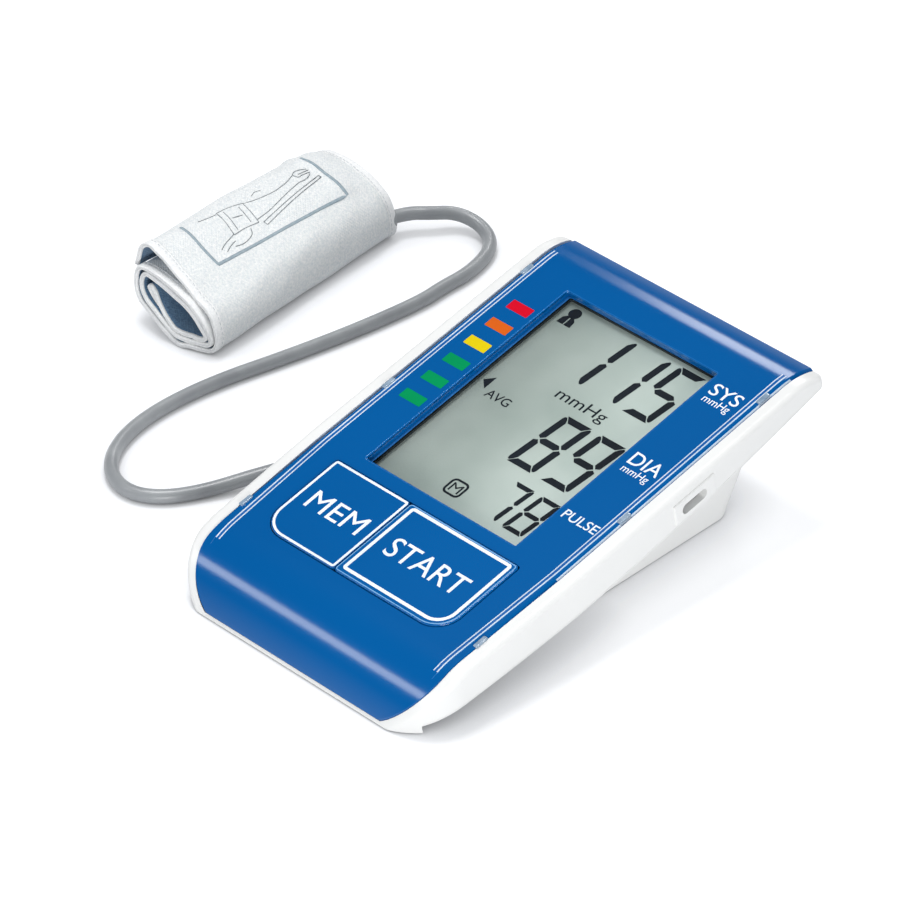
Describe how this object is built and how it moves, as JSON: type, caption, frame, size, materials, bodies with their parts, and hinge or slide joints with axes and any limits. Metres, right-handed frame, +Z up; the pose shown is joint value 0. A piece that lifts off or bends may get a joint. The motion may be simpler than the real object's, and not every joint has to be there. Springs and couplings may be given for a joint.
{
  "type": "upper-arm blood pressure monitor",
  "caption": "Table-top blood pressure monitor: sloping white body, blue faceplate, segment display, two wide keys, air hose and rolled upper-arm cuff.",
  "frame": {"origin": "on the table, at the middle of the rear rubber foot's underside", "axes": "+Z up from the table, +Y towards the display end, +X to the user's right (the USB side)"},
  "size_m": [0.2111, 0.1864, 0.0434],
  "materials": {
    "white_plastic": "satin",
    "blue_plate": "gloss",
    "blue_key": "gloss",
    "clear_window": "polished",
    "lcd": "satin",
    "white_sheet": "matt",
    "black_plastic": "matt",
    "grey_plastic": "satin",
    "elastomer": "matt",
    "board": "satin",
    "steel": "satin",
    "tin": "satin",
    "foot_rubber": "matt",
    "foam": "matt",
    "silicone": "satin",
    "hose_rubber": "satin",
    "bladder_rubber": "matt",
    "cell_can": "satin",
    "cuff_cloth": "woven",
    "lining_cloth": "woven"
  },
  "bodies": {
    "housing": {"front_housing": "white_plastic", "rear_housing": "white_plastic", "usb_socket": "tin", "faceplate": "blue_plate", "display_window": "clear_window", "mem_switch": "black_plastic", "start_switch": "black_plastic", "lcd_glass": "lcd", "lcd_reflector": "white_sheet", "lcd_frame": "white_plastic", "lcd_connector": "elastomer", "circuit_board": "board", "board_screws": "steel", "housing_screws": "steel", "pressure_sensor": "grey_plastic", "controller_chip": "black_plastic", "buzzer": "black_plastic", "rubber_feet": "foot_rubber", "cells": "cell_can", "cell_contacts": "tin", "cell_springs": "tin", "pump_motor": "steel", "pump_head": "grey_plastic", "pump_cushion": "foam", "pump_tube": "silicone", "air_tee": "grey_plastic", "socket_tube": "silicone", "sensor_tube": "silicone", "valve_tube": "silicone", "valve_body": "grey_plastic", "air_socket": "grey_plastic"},
    "mem_key": {"mem_key": "blue_key"},
    "start_key": {"start_key": "blue_key"},
    "mem_stem": {"mem_switch_stem": "white_plastic"},
    "start_stem": {"start_switch_stem": "white_plastic"},
    "battery_door": {"battery_door": "white_plastic"},
    "pump_rotor": {"pump_rotor": "steel"},
    "valve_plunger": {"valve_plunger": "steel"},
    "hose_and_cuff": {"air_plug": "grey_plastic", "air_hose": "hose_rubber", "cuff_port": "hose_rubber", "cuff_cover": "cuff_cloth", "cuff_bladder": "bladder_rubber", "cuff_lining": "lining_cloth"}
  },
  "joints": [
    {"name": "mem_key_press", "type": "slide", "parent": "housing", "child": "mem_key", "axis": [0, 0.1994, -0.9799], "range_m": [0, 0.0005], "stiffness_N_per_m": 1200, "springref_m": -0.0006},
    {"name": "mem_stem_press", "type": "slide", "parent": "housing", "child": "mem_stem", "axis": [0, 0.1994, -0.9799], "range_m": [0, 0.0005]},
    {"name": "start_key_press", "type": "slide", "parent": "housing", "child": "start_key", "axis": [0, 0.1994, -0.9799], "range_m": [0, 0.0005], "stiffness_N_per_m": 1200, "springref_m": -0.0006},
    {"name": "start_stem_press", "type": "slide", "parent": "housing", "child": "start_stem", "axis": [0, 0.1994, -0.9799], "range_m": [0, 0.0005]},
    {"name": "battery_door_off", "type": "slide", "parent": "housing", "child": "battery_door", "axis": [0, 0, -1], "range_m": [0, 0.02]},
    {"name": "air_plug_pull", "type": "slide", "parent": "housing", "child": "hose_and_cuff", "axis": [-1, 0, 0], "range_m": [0, 0.012]},
    {"name": "pump_rotor_spin", "type": "hinge", "parent": "housing", "child": "pump_rotor", "pos_m": [0, 0.0045, 0.0148], "axis": [1, 0, 0], "continuous": true},
    {"name": "valve_plunger_stroke", "type": "slide", "parent": "housing", "child": "valve_plunger", "axis": [0, 1, 0], "range_m": [0, 0.0008], "stiffness_N_per_m": 400, "springref_m": -0.0003}
  ],
  "couplings": [
    {"joint": "mem_stem_press", "follows": "mem_key_press", "ratio": 1},
    {"joint": "start_stem_press", "follows": "start_key_press", "ratio": 1}
  ]
}
